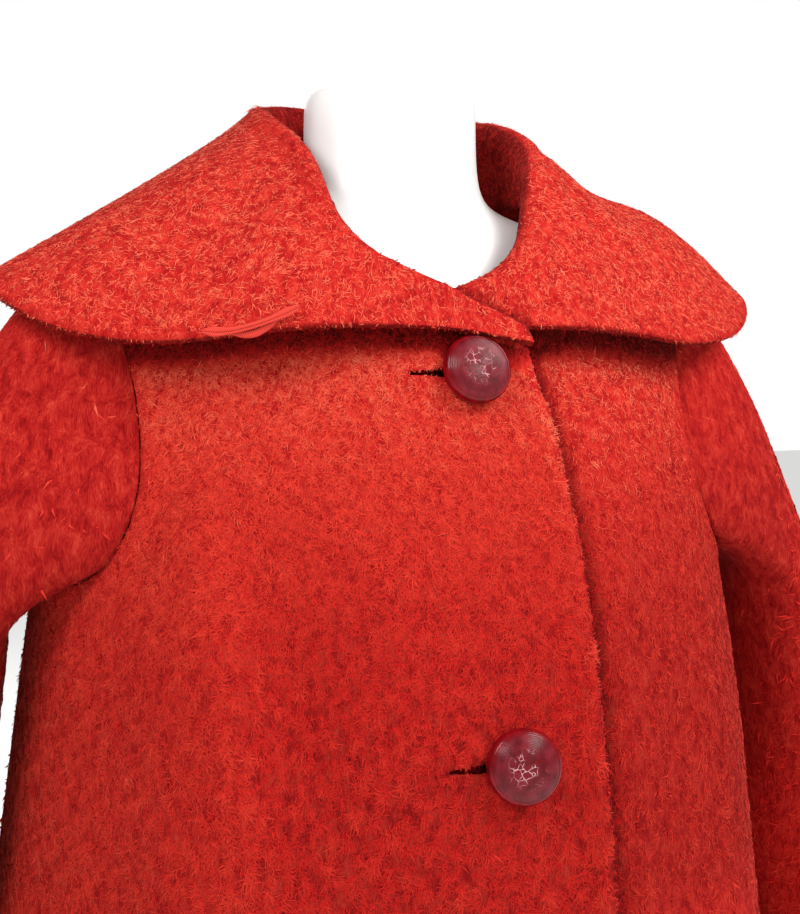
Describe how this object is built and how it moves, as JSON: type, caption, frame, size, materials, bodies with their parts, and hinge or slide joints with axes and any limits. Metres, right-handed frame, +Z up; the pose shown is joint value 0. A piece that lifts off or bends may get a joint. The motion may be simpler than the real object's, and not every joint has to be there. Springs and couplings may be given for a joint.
{
  "type": "short coat on dress form",
  "caption": "Short flared coat in shaggy napped cloth with a wide roll collar and domed buttons, hanging buttoned on a smooth limbless dress form.",
  "frame": {"origin": "on the floor at the centre of the dress form's flat foot, below its neck", "axes": "+Z up; the coat's front faces -Y and the wearer's left side is +X"},
  "size_m": [0.7296, 0.3946, 0.8255],
  "materials": {
    "napped_coating": "deep curly nap of wool and mohair, matt with a soft sheen",
    "braid": "narrow ribbed braid",
    "turned_plastic": "turned, worn satin cap with a clear red edge",
    "white_shell": "smooth white satin shell"
  },
  "bodies": {
    "root": {"front_right": "napped_coating", "front_left": "napped_coating", "back": "napped_coating", "sleeve_right": "napped_coating", "sleeve_left": "napped_coating", "collar": "napped_coating", "collar_loop": "braid", "button_1": "turned_plastic", "button_2": "turned_plastic", "button_3": "turned_plastic", "dress_form": "white_shell"}
  },
  "joints": []
}
